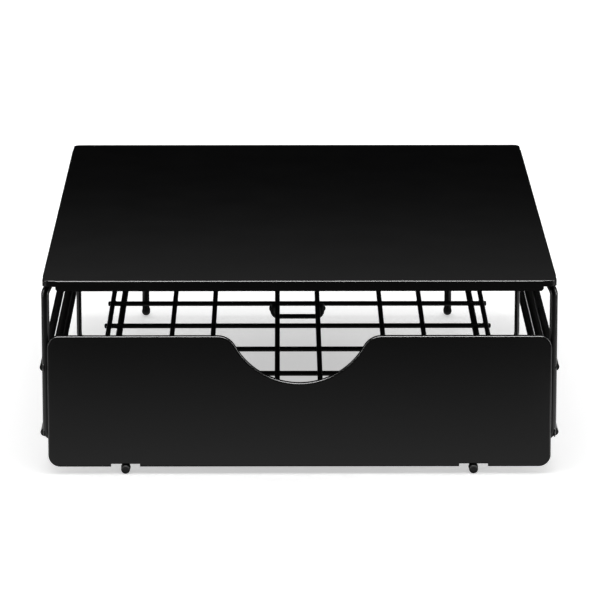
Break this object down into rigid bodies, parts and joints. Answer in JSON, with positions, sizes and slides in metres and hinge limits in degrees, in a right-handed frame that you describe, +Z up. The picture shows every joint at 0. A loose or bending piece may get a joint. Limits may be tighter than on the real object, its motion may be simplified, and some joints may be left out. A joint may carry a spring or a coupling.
{
  "type": "coffee pod drawer",
  "caption": "Low black wire stand with a flat sheet top for an appliance and a pull-out wire drawer with a scooped sheet front, for coffee pods lying in lanes.",
  "frame": {"origin": "on the table, under the middle of the closed cabinet", "axes": "+X to the right as seen from the front, +Y towards the back, +Z up; the drawer pulls out along -Y"},
  "size_m": [0.238, 0.33, 0.091],
  "materials": {
    "top_coat": "satin black powder coat, fine texture",
    "front_coat": "satin black powder coat, fine texture",
    "stand_coat": "semi-gloss black powder coat on wire",
    "basket_coat": "semi-gloss black powder coat on wire",
    "foot_rubber": "matt black rubber"
  },
  "bodies": {
    "stand": {"front_cross_wire": "stand_coat", "front_left_foot": "stand_coat", "front_left_foot_cap": "foot_rubber", "front_left_post": "stand_coat", "front_right_foot": "stand_coat", "front_right_foot_cap": "foot_rubber", "front_right_post": "stand_coat", "left_low_rail": "stand_coat", "left_mid_rail": "stand_coat", "left_slide_rail": "stand_coat", "rear_cross_wire": "stand_coat", "rear_left_foot": "stand_coat", "rear_left_foot_cap": "foot_rubber", "rear_left_post": "stand_coat", "rear_right_foot": "stand_coat", "rear_right_foot_cap": "foot_rubber", "rear_right_post": "stand_coat", "right_low_rail": "stand_coat", "right_mid_rail": "stand_coat", "right_slide_rail": "stand_coat", "top_panel": "top_coat"},
    "drawer": {"front_panel": "front_coat", "front_rib": "basket_coat", "lane_wire_1": "basket_coat", "lane_wire_2": "basket_coat", "lane_wire_3": "basket_coat", "lane_wire_4": "basket_coat", "lane_wire_5": "basket_coat", "lane_wire_6": "basket_coat", "lane_wire_7": "basket_coat", "lane_wire_8": "basket_coat", "middle_rib": "basket_coat", "rear_rib": "basket_coat", "rim_wire": "basket_coat", "row_wire_1": "basket_coat", "row_wire_2": "basket_coat", "row_wire_3": "basket_coat", "row_wire_4": "basket_coat", "row_wire_5": "basket_coat", "stop_wire": "basket_coat"}
  },
  "joints": [
    {"name": "drawer_slide", "type": "slide", "parent": "stand", "child": "drawer", "axis": [0, -1, 0], "range_m": [0, 0.24]}
  ]
}
